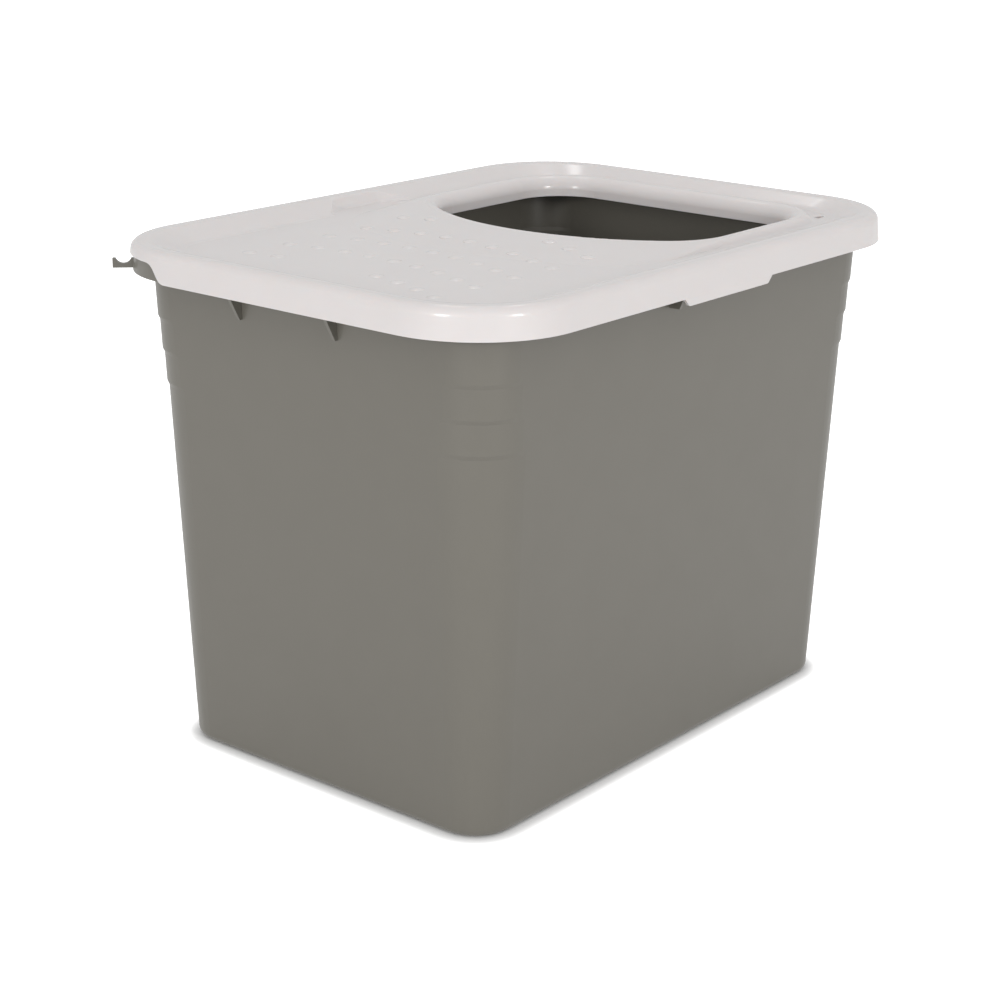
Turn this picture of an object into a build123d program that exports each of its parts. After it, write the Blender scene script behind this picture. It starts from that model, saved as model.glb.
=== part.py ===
"""Top entry litter box: a deep tapered tub and a lift-off lid with the entry hole.

Millimetres. The origin is the centre of the base, on the floor. +X is the long way, towards the
end with the entry hole, +Y is across and +Z is up.
"""
from build123d import *
from math import asin, degrees, hypot, radians, tan
import os

# ---------------------------------------------------------------- overall sizes
length = 516.0                  # over the lid's skirt, along X
width = 378.0                   # over the lid's skirt, along Y
height = 381.0                  # floor to the crest of the lid's rim

# ---------------------------------------------------------------- lid
lid_wall = 2.4                  # thickness of the lid's plastic
lid_corner_radius = 78.0        # plan radius of the skirt's corners
skirt_height = 21.6             # crest of the rim down to the skirt's lower edge
skirt_lean = 2.0                # how far the skirt leans in from its lower edge to the crest
crest_rounding = 7.0            # outer edge of the rim
crest_width = 15.0              # skirt's outer face to the inner shoulder of the rim
rim_width_deck = 34.0           # skirt's outer face to the foot of the rim, at the deck's end
rim_width_hole = 29.0           # the same at the end with the entry hole
rim_width_side = 38.5           # the same along the two long sides
deck_recess = 8.5               # crest down to the deck
deck_corner_radius = 46.0       # plan radius of the deck's corners
shoulder_rounding = 9.0         # where the crest turns down to the deck
foot_rounding = 12.0            # where that slope meets the deck

# ---------------------------------------------------------------- entry hole in the lid
hole_near = -2.5                # X of the hole's edge beside the deck, at the middle of its bow
hole_length = 204.6             # along X
hole_width = 251.6              # along Y
hole_bow_radius = 177.0         # the edge beside the deck bows out towards -X
hole_radius_near = 49.0         # plan radius of the two corners beside the deck
hole_radius_far = 42.4          # plan radius of the two corners at the end of the lid
lip_rise = 5.0                  # deck up to the crest of the rolled lip
lip_roll = 10.0                 # radius of the roll into the hole
lip_flank = 11.0                # crest of the lip out to its foot on the deck
lip_depth = 15.9                # crest of the lip down to its lower edge
apron_run = 65.0                # the deck rises to the lip over this run, beside the bow only
apron_tuck = 4.0                # how far in from the lip's foot the apron's sides lie
apron_step = 0.35               # crest of the lip down to the top of the apron

# ---------------------------------------------------------------- thumb recesses and pull tabs
recess_x = 4.0                  # middle of the thumb recess in each long side of the rim
recess_mouth = 104.0            # its width where it opens on the deck
recess_back = 44.0              # its width at the back
recess_depth = 15.0             # how far it cuts into the rim
recess_lean = 6.0               # how far its walls lean back
recess_rounding = 20.0          # plan radius of its corners
recess_foot_rounding = 5.0      # where its walls meet the deck
tab_x = -0.5                    # middle of the pull tab below each thumb recess
tab_width = 97.0                # along the tab's lower edge
tab_drop = 5.4                  # below the skirt's lower edge
tab_slant = 5.0                 # how far each end of the tab slants
tab_rounding = 3.5              # lower corners of the tab

# ---------------------------------------------------------------- small slot in the lid's corner
slot_x = 205.0
slot_y = -133.0
slot_length = 11.0
slot_width = 4.0

# ---------------------------------------------------------------- paw bumps on the deck
bump_diameter = 11.0
bump_rise = 1.1
bump_rows = 5
bump_first_x = -14.0            # apex of the row nearest the hole
bump_row_pitch = 40.7
bump_row_radius = 300.0         # each row is an arc that bends back towards -X
bump_row_apex_y = 30.0
bump_pitch = 24.0               # along Y within a row
bumps_each_way = 4
bump_margin = 5.0               # clear deck left round each bump
bare_edge_x = -150.0            # a smooth field lies beyond this line
bare_y = 25.0                   # middle of the smooth field
bare_width = 80.0

# ---------------------------------------------------------------- tub
tub_wall = 2.8
floor_thickness = 3.2
tub_draft = 2.5                 # degrees, each wall
tub_base_radius = 30.0          # plan radius of the corners at the base
tub_top_radius = 44.7           # the same at the top, if the ledges were not there
base_rounding = 6.5             # outer edge of the base, the wall's thickness less inside
rim_overhang = 24.5             # lid's skirt beyond the tub's wall at the flange
flange_thickness = 2.8
flange_lip_height = 9.6         # down-turned edge of the flange, over all
flange_lip_wall = 2.4
flange_bead = 3.0               # how far the flange's edge also turns up
flange_rounding = 1.2           # upper outer edge of that bead
mouth_rounding = 1.0            # upper inner edge of the wall

ledge_count = 3                 # stacking ledges at each corner
ledge_pitch = 24.1
ledge_top = 325.0               # height of the uppermost ledge
ledge_ramp = 3.0                # height of each ledge's slanted face
ledge_step = 3.1                # each ledge tightens the corner's radius by this much

gusset_thickness = 3.0
gusset_head = 16.0              # how far each gusset reaches out under the flange
end_gusset_drop = 28.0          # flange's underside down to the foot of a gusset on an end wall
end_gusset_toe = 2.5            # how far it stands out at its foot
end_gusset_pitch = 90.0         # each end wall has a pair
end_gusset_y = 11.0             # middle of that pair
side_gusset_drop = 20.0         # the same four sizes for the gussets on the side walls
side_gusset_toe = 8.5
side_gusset_pitch = 70.0
side_gusset_x = 0.0

# ---------------------------------------------------------------- scoop hook on the flange's corner
hook_reach = 14.2               # out from the flange's corner
hook_width = 4.0
hook_shoulder = 1.0             # flange's corner out to the saddle
hook_arm = 3.0                  # depth of the arm under the saddle
hook_saddle = 3.8               # depth of the saddle
hook_prong = 2.1                # thickness of the upright end
cutaway_height = 13.1           # opening in the lid's skirt that lets the hook through
cutaway_reach = 80.0            # from the lid's straight sides to the cutaway's two lower ends
cutaway_slant = 10.8            # how far each end of the cutaway slants
cutaway_rounding = 11.0         # its two upper corners
cutaway_flare = 9.0             # rounding of the skirt's edge at its two lower ends

# ---------------------------------------------------------------- fits
skirt_clearance = 0.4           # flange's lip inside the lid's skirt
seat_clearance = 0.3            # lid's seat rib above the flange
seat_rib = 2.0                  # thickness of the rib under the lid that stands over the wall

# ---------------------------------------------------------------- derived levels and sizes
skirt_bottom = height - skirt_height
tab_bottom = skirt_bottom - tab_drop
deck_top = height - deck_recess
deck_bottom = deck_top - lid_wall
deck_slope_run = rim_width_deck - crest_width
hole_slope_run = rim_width_hole - crest_width
side_slope_run = rim_width_side - crest_width
slope_drop = lid_wall * hypot(deck_slope_run, deck_recess) / deck_slope_run
hole_far = hole_near + hole_length
hole_half = hole_width / 2
lip_width = lip_roll + lip_flank
lip_crest = deck_top + lip_rise
lip_underside = lip_crest - lip_depth
apron_top = lip_crest - apron_step
flange_top = deck_bottom - seat_clearance
flange_bottom = flange_top - flange_thickness
lip_bottom = flange_top - flange_lip_height
bead_top = flange_top + flange_bead
draft_run = tan(radians(tub_draft))
far = length + width            # long enough to cut right through


# ================================================================ outlines shared by both pieces
def skirt_outline(level, inset):
    """Outline of the lid's skirt at a level, moved in by the inset."""
    lean = skirt_lean * max(0, level - skirt_bottom) / skirt_height + inset
    return RectangleRounded(length - 2 * lean, width - 2 * lean, lid_corner_radius - lean)


def dish_outline(level, drop, grow):
    """Outline of the dished top of the lid at a level, when lowered by drop and grown sideways."""
    climb = (level + drop - deck_top) / deck_recess
    deck_end = rim_width_deck - climb * deck_slope_run - length / 2 - grow
    hole_end = length / 2 - rim_width_hole + climb * hole_slope_run + grow
    half_wide = width / 2 - rim_width_side + climb * side_slope_run + grow
    shoulder_radius = lid_corner_radius - crest_width
    radius = deck_corner_radius + climb * (shoulder_radius - deck_corner_radius) + grow
    with Locations(((deck_end + hole_end) / 2, 0)):
        return RectangleRounded(hole_end - deck_end, 2 * half_wide, radius)


def recess_outline(level, drop, grow):
    """Outline of one thumb recess at a level, lowered by drop and grown sideways by grow."""
    lean = recess_lean * (level + drop - deck_top) / deck_recess + grow
    foot = width / 2 - rim_width_side
    side = recess_mouth / 2 + lean
    back = foot + recess_depth + lean
    front = foot - recess_mouth / 2
    corners = [
        (recess_x - side, front),
        (recess_x + side, front),
        (recess_x + side, foot),
        (recess_x + recess_back / 2 + lean, back),
        (recess_x - recess_back / 2 - lean, back),
        (recess_x - side, foot),
    ]
    return Polygon(*corners, align=None)


def hole_path(gap, run=0):
    """Closed path round the entry hole, the given gap outside its edge, its bow the run further."""
    bow_radius = hole_bow_radius + gap + run
    near_radius = hole_radius_near + gap
    far_radius = hole_radius_far + gap
    half = hole_half + gap
    bow_angle = degrees(asin((half - near_radius) / (bow_radius - near_radius)))
    with BuildLine() as path:
        bow = JernArc((hole_near - gap - run, 0), (0, -1), bow_radius, bow_angle)
        turn = JernArc(bow @ 1, bow % 1, near_radius, 90 - bow_angle)
        front = Line(turn @ 1, (hole_far - hole_radius_far, -half))
        turn = JernArc(front @ 1, front % 1, far_radius, 90)
        end = Line(turn @ 1, (hole_far + gap, half - far_radius))
        turn = JernArc(end @ 1, end % 1, far_radius, 90)
        back = Line(turn @ 1, ((front @ 0).X, half))
        turn = JernArc(back @ 1, back % 1, near_radius, 90 - bow_angle)
        JernArc(turn @ 1, turn % 1, bow_radius, bow_angle)
    return path.wires()[0]


def wall_outline(level, ledges_passed, inset, mode=Mode.ADD):
    """Outline of the tub's wall at a level, moved in by the inset."""
    spread = (level - flange_top) * draft_run - rim_overhang - inset
    radius = tub_base_radius + level / flange_top * (tub_top_radius - tub_base_radius)
    radius = radius - ledges_passed * ledge_step - inset
    return RectangleRounded(length + 2 * spread, width + 2 * spread, radius, mode=mode)


def wall_levels(bottom, top):
    """Levels of the wall's sections, each with the count of ledges passed below it."""
    levels = [(bottom, 0)]
    for index in range(ledge_count):
        middle = ledge_top - (ledge_count - 1 - index) * ledge_pitch
        levels.append((middle - ledge_ramp / 2, index))
        levels.append((middle + ledge_ramp / 2, index + 1))
    levels.append((top, ledge_count))
    return levels


# ================================================================ tub
with BuildPart() as cavity:
    for level, passed in wall_levels(floor_thickness, flange_top + tub_wall):
        with BuildSketch(Plane.XY.offset(level)):
            wall_outline(level, passed, tub_wall)
    loft(ruled=True)
    fillet(cavity.edges().group_by(Axis.Z)[0], base_rounding - tub_wall)

with BuildPart() as flange:
    for level in (lip_bottom, bead_top):
        with BuildSketch(Plane.XY.offset(level)):
            skirt_outline(level, lid_wall + skirt_clearance)
    loft(ruled=True)
    fillet(flange.edges().group_by(Axis.Z)[-1], flange_rounding)
    for bottom, top in ((lip_bottom, flange_bottom), (flange_top, bead_top)):
        for level in (bottom, top):
            with BuildSketch(Plane.XY.offset(level)):
                skirt_outline(level, lid_wall + skirt_clearance + flange_lip_wall)
        loft(ruled=True, mode=Mode.SUBTRACT)

flange_corner_radius = lid_corner_radius - lid_wall - skirt_clearance
hook_origin = (lid_corner_radius - length / 2, width / 2 - lid_corner_radius, 0)
hook_root = flange_corner_radius - flange_lip_wall
hook_end = flange_corner_radius + hook_reach
saddle_start = flange_corner_radius + hook_shoulder
saddle_end = hook_end - hook_prong
saddle_floor = lip_bottom + hook_arm
hook_top = saddle_floor + hook_saddle

with BuildPart() as tub:
    for level, passed in wall_levels(0, flange_top):
        with BuildSketch(Plane.XY.offset(level)):
            wall_outline(level, passed, 0)
    loft(ruled=True)
    fillet(tub.edges().group_by(Axis.Z)[0], base_rounding)
    add(flange.part)
    # gussets stand under the flange, a pair on each wall
    for side in (1, -1):
        for half in (-0.5, 0.5):
            end_y = end_gusset_y + half * end_gusset_pitch
            side_x = side_gusset_x + half * side_gusset_pitch
            end_plane = Plane((0, end_y, 0), (side, 0, 0), (0, -side, 0))
            side_plane = Plane((side_x, 0, 0), (0, side, 0), (side, 0, 0))
            for plane, extent, drop, toe in (
                (end_plane, length, end_gusset_drop, end_gusset_toe),
                (side_plane, width, side_gusset_drop, side_gusset_toe),
            ):
                foot = flange_bottom - drop
                wall_face = extent / 2 - rim_overhang
                wall_foot = wall_face - (flange_top - foot) * draft_run
                with BuildSketch(plane):
                    Polygon(
                        (wall_foot - tub_wall / 2, foot),
                        (wall_foot + toe, foot),
                        (wall_face + gusset_head, flange_bottom),
                        (wall_foot - tub_wall / 2, flange_bottom),
                        align=None,
                    )
                extrude(amount=gusset_thickness / 2, both=True)
    add(cavity.part, mode=Mode.SUBTRACT)
    mouth = tub.edges(Select.LAST).filter_by_position(Axis.Z, flange_top - 0.01, flange_top + 0.01)
    fillet(mouth, mouth_rounding)
    # scoop hook: an arm with a round saddle and an upright end, out from the corner
    with BuildSketch(Plane(hook_origin, (-1, 1, 0), (1, 1, 0))):
        with BuildLine():
            Polyline(
                (saddle_start, hook_top),
                (hook_root, hook_top),
                (hook_root, lip_bottom),
                (hook_end, lip_bottom),
                (hook_end, hook_top),
                (saddle_end, hook_top),
            )
            ThreePointArc(
                (saddle_end, hook_top),
                ((saddle_end + saddle_start) / 2, saddle_floor),
                (saddle_start, hook_top),
            )
        make_face()
    extrude(amount=hook_width / 2, both=True)

tub.part.label = "tub"


# ================================================================ lid
with BuildPart() as dish:
    for level in (deck_top, height + lid_wall):
        with BuildSketch(Plane.XY.offset(level)):
            dish_outline(level, 0, 0)
    loft(ruled=True)
    fillet(dish.edges().group_by(Axis.Z)[0], foot_rounding)

with BuildPart() as dish_backing:
    for level in (deck_bottom, height - lid_wall / 2):
        with BuildSketch(Plane.XY.offset(level)):
            dish_outline(level, slope_drop, 0)
    loft(ruled=True)

with BuildPart() as recess:
    for level in (deck_top, height + lid_wall):
        with BuildSketch(Plane.XY.offset(level)) as outline:
            recess_outline(level, 0, 0)
            fillet(outline.vertices(), recess_rounding)
    loft(ruled=True)
    fillet(recess.edges().group_by(Axis.Z)[0], recess_foot_rounding)
    mirror(about=Plane.XZ)

with BuildPart() as recess_backing:
    for level in (deck_bottom, height - lid_wall / 2):
        with BuildSketch(Plane.XY.offset(level)) as outline:
            recess_outline(level, 0, lid_wall)
            fillet(outline.vertices(), recess_rounding + lid_wall)
    loft(ruled=True)
    mirror(about=Plane.XZ)

with BuildPart() as skirt_trim:
    # what is cut off below the skirt, all but the two tabs
    with BuildSketch(Plane.XY.offset(tab_bottom)):
        Rectangle(far, far)
    extrude(amount=tab_drop)
    with BuildSketch(Plane.XZ) as tab_shape:
        Polygon(
            (tab_x - tab_width / 2, tab_bottom),
            (tab_x + tab_width / 2, tab_bottom),
            (tab_x + tab_width / 2 + tab_slant, skirt_bottom),
            (tab_x - tab_width / 2 - tab_slant, skirt_bottom),
            align=None,
        )
        fillet(tab_shape.vertices().group_by(Axis.Y)[0], tab_rounding)
    extrude(amount=far, both=True, mode=Mode.SUBTRACT)

cutaway_top = skirt_bottom + cutaway_height
with BuildPart() as cutaway:
    # the corner of the skirt that the hook passes through, as seen from the end and from the side
    end_view = Plane((0, width / 2 - cutaway_reach, 0), (0, 1, 0), (1, 0, 0))
    side_view = Plane((cutaway_reach - length / 2, 0, 0), (-1, 0, 0), (0, 1, 0))
    for view, mode in ((end_view, Mode.ADD), (side_view, Mode.INTERSECT)):
        with BuildSketch(view) as cutaway_shape:
            Polygon(
                (-cutaway_flare, tab_bottom),
                (far, tab_bottom),
                (far, cutaway_top),
                (cutaway_slant, cutaway_top),
                (0, skirt_bottom),
                (-cutaway_flare, skirt_bottom),
                align=None,
            )
            upper_corner = Vertex(cutaway_slant, cutaway_top)
            fillet(cutaway_shape.vertices().sort_by_distance(upper_corner)[0], cutaway_rounding)
            lower_corner = Vertex(0, skirt_bottom)
            fillet(cutaway_shape.vertices().sort_by_distance(lower_corner)[0], cutaway_flare)
        extrude(amount=far, both=True, mode=mode)

with BuildPart() as rolled_lip:
    roll_start = lip_crest - lip_roll
    inner_roll = lip_roll - lid_wall
    flank_middle = (lip_roll + lip_flank / 2, deck_top + lip_rise / 2)
    flank_inside = (lip_roll + lip_flank / 2, deck_bottom + lip_rise / 2)
    with BuildSketch(Plane((hole_near, 0, 0), (-1, 0, 0), (0, 1, 0))):
        with BuildLine():
            Line((0, lip_underside), (0, roll_start))
            JernArc((0, roll_start), (0, 1), lip_roll, -90)
            crest_arc = TangentArc((lip_roll, lip_crest), flank_middle, tangent=(1, 0))
            TangentArc(flank_middle, (lip_width, deck_top), tangent=crest_arc % 1)
            Polyline(
                (lip_width, deck_top),
                (lip_width + lid_wall, deck_top),
                (lip_width + lid_wall, deck_bottom),
                (lip_width, deck_bottom),
            )
            inner_arc = TangentArc((lip_roll, lip_crest - lid_wall), flank_inside, tangent=(1, 0))
            TangentArc(flank_inside, (lip_width, deck_bottom), tangent=inner_arc % 1)
            JernArc((lid_wall, roll_start), (0, 1), inner_roll, -90)
            Polyline((lid_wall, roll_start), (lid_wall, lip_underside), (0, lip_underside))
        make_face()
    sweep(path=hole_path(0))


with BuildPart() as apron_core:
    # the hollow below the apron, which the deck's own plate gives way to
    for level, gap, run in (
        (deck_bottom - lid_wall, lip_width - apron_tuck, apron_run),
        (deck_bottom, lip_width - apron_tuck, apron_run),
        (apron_top - lid_wall, lip_roll + lid_wall, 0),
    ):
        with BuildSketch(Plane.XY.offset(level)):
            with BuildLine():
                add(hole_path(gap, run))
            make_face()
    loft(ruled=True)

with BuildPart() as apron:
    # the deck's gentle rise to the lip
    for level, gap, run in (
        (deck_bottom, lip_width - apron_tuck, apron_run),
        (deck_top, lip_width - apron_tuck, apron_run),
        (apron_top, lip_roll + lid_wall, 0),
    ):
        with BuildSketch(Plane.XY.offset(level)):
            with BuildLine():
                add(hole_path(gap, run))
            make_face()
    loft(ruled=True)
    add(apron_core.part, mode=Mode.SUBTRACT)
    with BuildSketch(Plane.XY.offset(deck_bottom)):
        with BuildLine():
            add(hole_path(lip_roll + lid_wall / 2))
        make_face()
    extrude(amount=far, both=True, mode=Mode.SUBTRACT)


def open_deck(x, y):
    """Whether a bump fits at this place, clear of the lip, the rim and the smooth field."""
    if x < bare_edge_x and abs(y - bare_y) < bare_width / 2:
        return False
    room = bump_diameter / 2 + bump_margin
    if abs(y) > width / 2 - rim_width_side - room or x < rim_width_deck - length / 2 + room:
        return False
    from_bow_centre = hypot(hole_near + hole_bow_radius - x, y)
    return from_bow_centre > hole_bow_radius + lip_roll + room


def deck_height(x, y):
    """Height of the deck at a place, on the apron or beside it."""
    through = apron.part.find_intersection_points(Axis((x, y, 0), (0, 0, 1)))
    return max([deck_top] + [point.Z for point, _ in through])


bump_places = []
for row in range(bump_rows):
    apex_x = bump_first_x - row * bump_row_pitch
    for step in range(-bumps_each_way, bumps_each_way + 1):
        bump_y = step * bump_pitch
        back = bump_row_radius - (bump_row_radius ** 2 - (bump_y - bump_row_apex_y) ** 2) ** 0.5
        if open_deck(apex_x - back, bump_y):
            bump_x = apex_x - back
            bump_places.append((bump_x, bump_y, deck_height(bump_x, bump_y)))
bump_radius = ((bump_diameter / 2) ** 2 + bump_rise ** 2) / (2 * bump_rise)

with BuildPart() as bump:
    with BuildSketch(Plane.XZ):
        with BuildLine():
            Line((0, -lid_wall / 2), (0, bump_rise))
            RadiusArc((0, bump_rise), (bump_diameter / 2, 0), bump_radius)
            Polyline((bump_diameter / 2, 0), (bump_diameter / 2, -lid_wall / 2), (0, -lid_wall / 2))
        make_face()
    revolve(axis=Axis.Z)

with BuildPart() as hollow:
    # the space under the lid's skirt and rim
    hollow_bottom = tab_bottom - lid_wall
    for level in (hollow_bottom, skirt_bottom, height - lid_wall):
        with BuildSketch(Plane.XY.offset(level)):
            skirt_outline(level, lid_wall)
    loft(ruled=True)
    fillet(hollow.edges().group_by(Axis.Z)[-1], crest_rounding - lid_wall)

with BuildPart() as lid:
    # skirt and rim, with the tabs below
    for level in (tab_bottom, skirt_bottom, height):
        with BuildSketch(Plane.XY.offset(level)):
            skirt_outline(level, 0)
    loft(ruled=True)
    fillet(lid.edges().group_by(Axis.Z)[-1], crest_rounding)
    add(hollow.part, mode=Mode.SUBTRACT)
    add(skirt_trim.part, mode=Mode.SUBTRACT)
    add(cutaway.part, mode=Mode.SUBTRACT)
    # seat rib, which stands over the tub's wall right round
    with BuildSketch(Plane.XY.offset(deck_bottom)):
        wall_outline(flange_top, ledge_count, (tub_wall - seat_rib) / 2)
        wall_outline(flange_top, ledge_count, (tub_wall + seat_rib) / 2, Mode.SUBTRACT)
    extrude(amount=deck_recess)
    # dished top, with the entry hole and its rolled lip
    add(dish_backing.part)
    add(recess_backing.part)
    add(dish.part, mode=Mode.SUBTRACT)
    shoulder = lid.edges(Select.LAST).filter_by_position(Axis.Z, height - 0.01, height + 0.01)
    fillet(shoulder, shoulder_rounding)
    add(recess.part, mode=Mode.SUBTRACT)
    with BuildSketch(Plane.XY.offset(deck_bottom - lid_wall)):
        with BuildLine():
            add(hole_path(lip_width + lid_wall / 2))
        make_face()
    extrude(amount=3 * lid_wall, mode=Mode.SUBTRACT)
    add(apron_core.part, mode=Mode.SUBTRACT)
    add(apron.part)
    add(rolled_lip.part)
    # slot through the deck in the corner beyond the lip
    with BuildSketch(Plane.XY.offset(deck_bottom - lid_wall)):
        with Locations((slot_x, slot_y)):
            SlotOverall(slot_length, slot_width)
    extrude(amount=3 * lid_wall, mode=Mode.SUBTRACT)
    # paw bumps, each the cap of a ball
    with Locations(*bump_places):
        add(bump.part)

lid.part.label = "lid"

os.makedirs("parts", exist_ok=True)
for piece in (tub, lid):
    export_step(piece.part, f"parts/{piece.part.label}.step")
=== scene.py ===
"""Dresses the top entry litter box: satin mouldings, a pale studio and the camera.

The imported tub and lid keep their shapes. This script gives them their finishes.
"""
from __future__ import annotations

import logging
import math
from dataclasses import dataclass
from enum import Enum

import bpy
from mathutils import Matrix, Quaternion, Vector


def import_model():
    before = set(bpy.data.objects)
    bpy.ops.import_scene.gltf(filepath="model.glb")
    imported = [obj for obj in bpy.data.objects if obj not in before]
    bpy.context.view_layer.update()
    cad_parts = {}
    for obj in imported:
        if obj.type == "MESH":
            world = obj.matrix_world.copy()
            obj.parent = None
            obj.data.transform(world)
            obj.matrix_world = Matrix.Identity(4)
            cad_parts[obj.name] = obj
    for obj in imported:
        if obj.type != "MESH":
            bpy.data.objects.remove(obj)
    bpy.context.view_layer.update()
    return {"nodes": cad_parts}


LOG = logging.getLogger("litter_box")
Colour = tuple[float, float, float]


class Body(Enum):
    """The two mouldings, by the names of their nodes and bodies."""

    TUB = "tub"
    LID = "lid"


# ---------------------------------------------------------------- shared effects
def new_group(name: str, inputs: dict[str, float], outputs: tuple[str, ...]) -> bpy.types.NodeTree:
    """Makes an empty shader node group with a Vector input and value sockets.

    Args:
        name: The group's name.
        inputs: Name and default of each value input.
        outputs: Name of each value output.

    Returns:
        The group, with its input and output nodes called In and Out.
    """
    group = bpy.data.node_groups.new(name, "ShaderNodeTree")
    group.interface.new_socket("Vector", in_out="INPUT", socket_type="NodeSocketVector")
    for label, default in inputs.items():
        socket = group.interface.new_socket(label, in_out="INPUT", socket_type="NodeSocketFloat")
        socket.default_value = default
    for label in outputs:
        group.interface.new_socket(label, in_out="OUTPUT", socket_type="NodeSocketFloat")
    group.nodes.new("NodeGroupInput").name = "In"
    group.nodes.new("NodeGroupOutput").name = "Out"
    return group


def mould_grain_group() -> bpy.types.NodeTree:
    """Builds the fine texture of a mould's surface, with the slow waves of a thin moulded wall.

    Returns:
        A group that puts out the surface's height and a mottle that drifts over it.
    """
    inputs = {"Grain": 1400.0, "Wave": 9.0, "Wave Share": 0.8, "Mottle Scale": 26.0}
    group = new_group("mould_grain", inputs, ("Height", "Mottle"))
    nodes, links = group.nodes, group.links
    start, end = nodes["In"], nodes["Out"]

    def noise(scale: str, detail: float) -> bpy.types.Node:
        """Adds a noise texture.

        Args:
            scale: The group input that sets how fine it is.
            detail: How many finer layers it has.

        Returns:
            The texture.
        """
        texture = nodes.new("ShaderNodeTexNoise")
        texture.inputs["Detail"].default_value = detail
        links.new(start.outputs["Vector"], texture.inputs["Vector"])
        links.new(start.outputs[scale], texture.inputs["Scale"])
        return texture

    grain = noise("Grain", detail=2.0)
    wave = noise("Wave", detail=1.0)
    mottle = noise("Mottle Scale", detail=5.0)
    blend = nodes.new("ShaderNodeMix")
    links.new(start.outputs["Wave Share"], blend.inputs["Factor"])
    links.new(grain.outputs["Fac"], blend.inputs["A"])
    links.new(wave.outputs["Fac"], blend.inputs["B"])
    links.new(blend.outputs["Result"], end.inputs["Height"])
    links.new(mottle.outputs["Fac"], end.inputs["Mottle"])
    return group


# ---------------------------------------------------------------- finishes
@dataclass(frozen=True)
class MouldedPlastic:
    """A satin moulded plastic, coloured right through.

    Its colour drifts slowly between colour and shade, and its roughness by the spread either way.
    Translucence is the share of the light that enters, and scatter how far each colour travels, in
    metres.
    """

    name: str
    colour: Colour
    shade: Colour
    roughness: float
    coat: float
    coat_roughness: float
    translucence: float = 0.0
    scatter: Colour = (0.004, 0.003, 0.0025)
    roughness_spread: float = 0.03
    grain: float = 1500.0
    relief: float = 0.12
    relief_height: float = 0.0004
    refraction: float = 1.49

    def build(self, grain_group: bpy.types.NodeTree) -> bpy.types.Material:
        """Builds the material.

        Args:
            grain_group: The shared surface texture.

        Returns:
            The finished material.
        """
        material = bpy.data.materials.new(self.name)
        material.use_nodes = True
        nodes, links = material.node_tree.nodes, material.node_tree.links
        shader = nodes["Principled BSDF"]
        place = nodes.new("ShaderNodeTexCoord")
        surface = nodes.new("ShaderNodeGroup")
        surface.node_tree = grain_group
        surface.inputs["Grain"].default_value = self.grain
        links.new(place.outputs["Object"], surface.inputs["Vector"])
        tint = nodes.new("ShaderNodeMix")
        tint.data_type = "RGBA"
        tint.inputs["A"].default_value = (*self.colour, 1.0)
        tint.inputs["B"].default_value = (*self.shade, 1.0)
        links.new(surface.outputs["Mottle"], tint.inputs["Factor"])
        links.new(tint.outputs["Result"], shader.inputs["Base Color"])
        satin = nodes.new("ShaderNodeMapRange")
        satin.inputs["To Min"].default_value = self.roughness - self.roughness_spread
        satin.inputs["To Max"].default_value = self.roughness + self.roughness_spread
        links.new(surface.outputs["Mottle"], satin.inputs["Value"])
        links.new(satin.outputs["Result"], shader.inputs["Roughness"])
        relief = nodes.new("ShaderNodeBump")
        relief.inputs["Strength"].default_value = self.relief
        relief.inputs["Distance"].default_value = self.relief_height
        links.new(surface.outputs["Height"], relief.inputs["Height"])
        links.new(relief.outputs["Normal"], shader.inputs["Normal"])
        shader.inputs["IOR"].default_value = self.refraction
        shader.inputs["Coat Weight"].default_value = self.coat
        shader.inputs["Coat Roughness"].default_value = self.coat_roughness
        if self.translucence:
            shader.inputs["Subsurface Weight"].default_value = self.translucence
            shader.inputs["Subsurface Radius"].default_value = self.scatter
            shader.inputs["Subsurface Scale"].default_value = 1.0
        return material


PEARL_LID = MouldedPlastic(
    name="pearl_lid_plastic",
    colour=(0.743, 0.700, 0.691),
    shade=(0.715, 0.674, 0.665),
    roughness=0.42,
    coat=0.8,
    coat_roughness=0.16,
    translucence=0.35,
)
TAUPE_TUB = MouldedPlastic(
    name="taupe_tub_plastic",
    colour=(0.168, 0.158, 0.134),
    shade=(0.160, 0.150, 0.127),
    roughness=0.40,
    coat=0.25,
    coat_roughness=0.2,
)


# ---------------------------------------------------------------- the two mouldings
@dataclass
class Moulding:
    """One moulded piece, dressed in its finish."""

    body: Body
    finish: MouldedPlastic

    def dress(self, node: bpy.types.Object, grain_group: bpy.types.NodeTree) -> bpy.types.Object:
        """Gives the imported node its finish.

        Args:
            node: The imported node.
            grain_group: The shared surface texture.

        Returns:
            The dressed piece.
        """
        node.data.materials.clear()
        node.data.materials.append(self.finish.build(grain_group))
        return node


# ---------------------------------------------------------------- studio
@dataclass
class SoftBox:
    """A square soft studio lamp, aimed at the upper part of the object.

    Azimuth and elevation are in degrees, distance and side in metres, and power in watts.
    """

    name: str
    azimuth: float
    elevation: float
    distance: float
    side: float
    power: float

    def hang(self, target: Vector) -> bpy.types.Object:
        """Places the lamp.

        Args:
            target: The point that the lamp is aimed at.

        Returns:
            The lamp.
        """
        turn, rise = math.radians(self.azimuth), math.radians(self.elevation)
        away = Vector((math.cos(turn) * math.cos(rise), math.sin(turn) * math.cos(rise), math.sin(rise)))
        data = bpy.data.lights.new(self.name, "AREA")
        data.shape = "SQUARE"
        data.size, data.energy = self.side, self.power
        lamp = bpy.data.objects.new(self.name, data)
        bpy.context.scene.collection.objects.link(lamp)
        lamp.location = target + away * self.distance
        lamp.rotation_mode = "QUATERNION"
        lamp.rotation_quaternion = (-away).to_track_quat("-Z", "Y")
        return lamp


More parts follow.
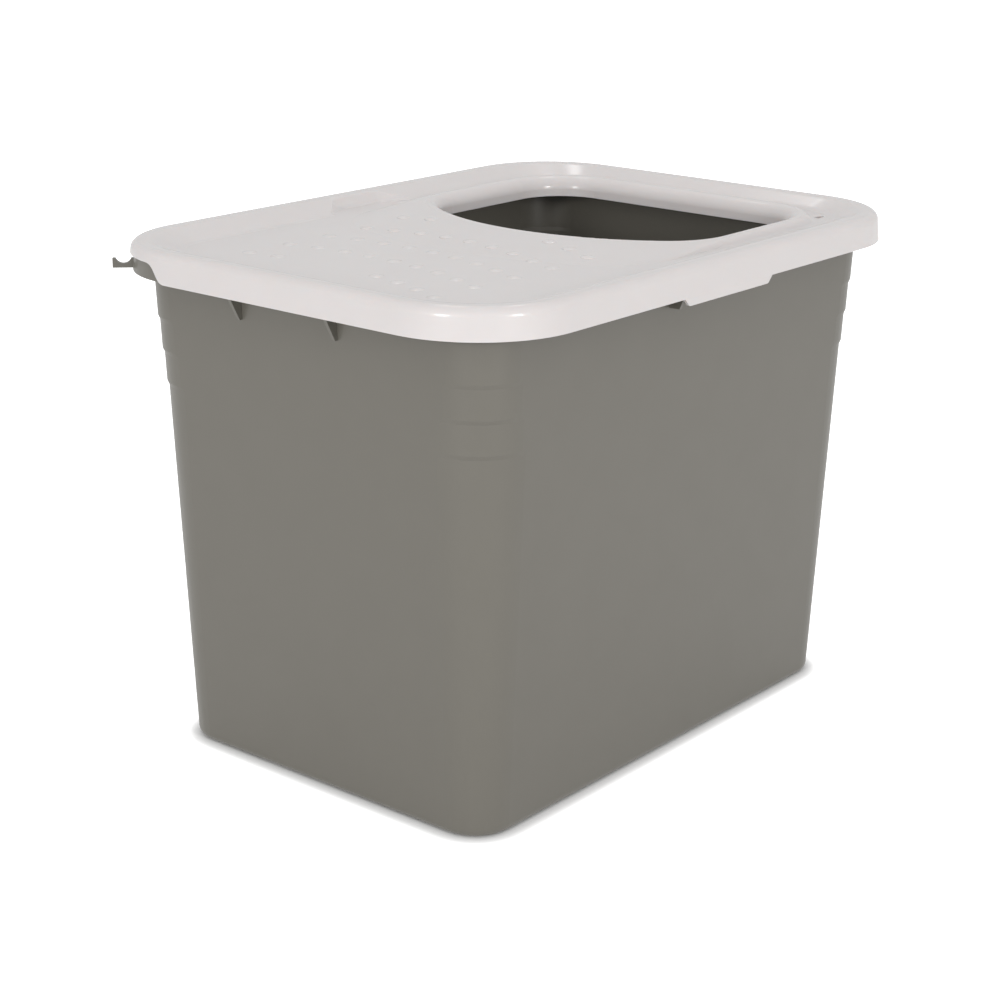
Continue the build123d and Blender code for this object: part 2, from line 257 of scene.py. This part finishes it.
@dataclass
class Studio:
    """A pale floor under an even white sky, with soft lamps beside the camera and behind.

    The glows and the sky are strengths, where 1 shows as white. Shadow reach is in metres: how far
    from the object the floor's glow is dimmed, which paints a contact shadow; a greater depth makes
    this painted shadow darker.
    """

    floor_size: float = 14.0
    floor_height: float = 0.0
    floor_roughness: float = 0.9
    floor_colour: Colour = (0.88, 0.88, 0.88)
    floor_glow: float = 0.80
    mirrored_glow: float = 0.20
    # Reach and depth of the painted contact shadow, made by dimming the floor's glow near the object.
    painted_shadow_reach: float = 0.0125
    painted_shadow_depth: float = 3.8
    sky: float = 0.72
    target: tuple[float, float, float] = (0.0, 0.0, 0.30)

    def build(self) -> None:
        """Builds the floor, the sky and the lamps."""
        self.lay_floor()
        self.light_sky()
        lamps = (
            SoftBox("lamp_left", azimuth=-171.0, elevation=14.0, distance=2.6, side=0.42, power=13.3),
            SoftBox("lamp_right", azimuth=-104.0, elevation=14.0, distance=2.6, side=0.42, power=13.3),
            SoftBox("lamp_back_left", azimuth=49.0, elevation=54.0, distance=2.4, side=0.20, power=1.0),
            SoftBox("lamp_back_right", azimuth=26.0, elevation=54.0, distance=2.4, side=0.20, power=1.0),
        )
        for lamp in lamps:
            lamp.hang(Vector(self.target))

    def lay_floor(self) -> None:
        """Lays the pale floor, which shows white, keeps the object's real shadow and has a painted
        contact shadow close to it.
        """
        half = self.floor_size / 2
        mesh = bpy.data.meshes.new("floor")
        turns = ((-half, -half), (half, -half), (half, half), (-half, half))
        corners = [(*corner, self.floor_height) for corner in turns]
        mesh.from_pydata(corners, [], [range(len(corners))])
        floor = bpy.data.objects.new("floor", mesh)
        bpy.context.scene.collection.objects.link(floor)
        material = bpy.data.materials.new("pale_floor")
        material.use_nodes = True
        nodes, links = material.node_tree.nodes, material.node_tree.links
        shader = nodes["Principled BSDF"]
        shader.inputs["Base Color"].default_value = (*self.floor_colour, 1.0)
        shader.inputs["Roughness"].default_value = self.floor_roughness
        shader.inputs["Specular IOR Level"].default_value = 0.0
        shader.inputs["Emission Color"].default_value = (1.0, 1.0, 1.0, 1.0)
        links.new(self.seen_glow(nodes, links), shader.inputs["Emission Strength"])
        mesh.materials.append(material)

    def seen_glow(self, nodes: bpy.types.Nodes, links: bpy.types.NodeLinks) -> bpy.types.NodeSocket:
        """Adds the floor's glow, for the camera's own view of it and for its reflection.

        The glow that the camera sees is dimmed close to the object by ambient occlusion, which paints a
        contact shadow on the floor there.

        Args:
            nodes: The material's nodes.
            links: The material's links.

        Returns:
            A socket with the glow on such rays, and 0 on the rays that light the object.
        """

        def maths(operation: str, *operands: bpy.types.NodeSocket | float) -> bpy.types.NodeSocket:
            """Adds a Math node.

            Args:
                operation: The node's operation.
                *operands: A socket to link, or a number to set, for each input in turn.

            Returns:
                The node's output.
            """
            node = nodes.new("ShaderNodeMath")
            node.operation = operation
            for slot, operand in zip(node.inputs, operands):
                if isinstance(operand, bpy.types.NodeSocket):
                    links.new(operand, slot)
                else:
                    slot.default_value = operand
            return node.outputs[0]

        path = nodes.new("ShaderNodeLightPath").outputs
        # Painted contact shadow: the camera's view of the floor glow is dimmed by ambient occlusion near
        # the object.
        painted_contact_shade = nodes.new("ShaderNodeAmbientOcclusion")
        painted_contact_shade.inputs["Distance"].default_value = self.painted_shadow_reach
        painted_shadow = maths("POWER", painted_contact_shade.outputs["AO"], self.painted_shadow_depth)
        straight = maths("MULTIPLY", path["Is Camera Ray"], painted_shadow)
        mirrored = maths("MAXIMUM", path["Is Glossy Ray"], path["Is Transmission Ray"])
        glow = maths("MULTIPLY", straight, self.floor_glow)
        return maths("MULTIPLY_ADD", mirrored, self.mirrored_glow, glow)

    def light_sky(self) -> None:
        """Lights the scene from an even white sky, which shows as plain white."""
        world = bpy.data.worlds.new("studio")
        bpy.context.scene.world = world
        world.use_nodes = True
        nodes, links = world.node_tree.nodes, world.node_tree.links
        sky = nodes["Background"]
        sky.inputs["Color"].default_value = (1.0, 1.0, 1.0, 1.0)
        path = nodes.new("ShaderNodeLightPath")
        level = nodes.new("ShaderNodeMapRange")
        level.inputs["To Min"].default_value = self.sky
        level.inputs["To Max"].default_value = 1.0
        links.new(path.outputs["Is Camera Ray"], level.inputs["Value"])
        links.new(level.outputs["Result"], sky.inputs["Strength"])


@dataclass
class Camera:
    """The camera, where the picture was taken from.

    Places are in metres, the roll in degrees, and the lens and the sensor's width in millimetres.
    """

    place: tuple[float, float, float] = (-1.2366, -1.0036, 0.6822)
    looks_at: tuple[float, float, float] = (-0.0628, -0.0356, 0.1868)
    roll: float = 0.494
    lens: float = 78.03
    sensor: float = 36.0
    nearest: float = 0.05
    farthest: float = 60.0

    def set_up(self) -> bpy.types.Object:
        """Sets the camera up.

        Returns:
            The camera, which is also made the scene's own.
        """
        data = bpy.data.cameras.new("camera")
        data.lens, data.sensor_width = self.lens, self.sensor
        data.clip_start, data.clip_end = self.nearest, self.farthest
        camera = bpy.data.objects.new("camera", data)
        bpy.context.scene.collection.objects.link(camera)
        camera.location = self.place
        aim = Vector(self.looks_at) - Vector(self.place)
        camera.rotation_mode = "QUATERNION"
        level = aim.to_track_quat("-Z", "Y")
        camera.rotation_quaternion = level @ Quaternion((0.0, 0.0, 1.0), math.radians(self.roll))
        bpy.context.scene.camera = camera
        return camera


def main() -> None:
    """Loads the frame, dresses both mouldings and sets up the studio and the camera."""
    logging.basicConfig(level=logging.INFO, format="%(name)s: %(message)s")
    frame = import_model()
    grain_group = mould_grain_group()
    for moulding in (Moulding(Body.TUB, TAUPE_TUB), Moulding(Body.LID, PEARL_LID)):
        piece = moulding.dress(frame["nodes"][moulding.body.value], grain_group)
        LOG.info("%s: %d faces, finish %s", piece.name, len(piece.data.polygons), moulding.finish.name)
    Studio().build()
    Camera().set_up()
    bpy.context.scene.view_settings.view_transform = "Standard"


if __name__ == "__main__":
    main()
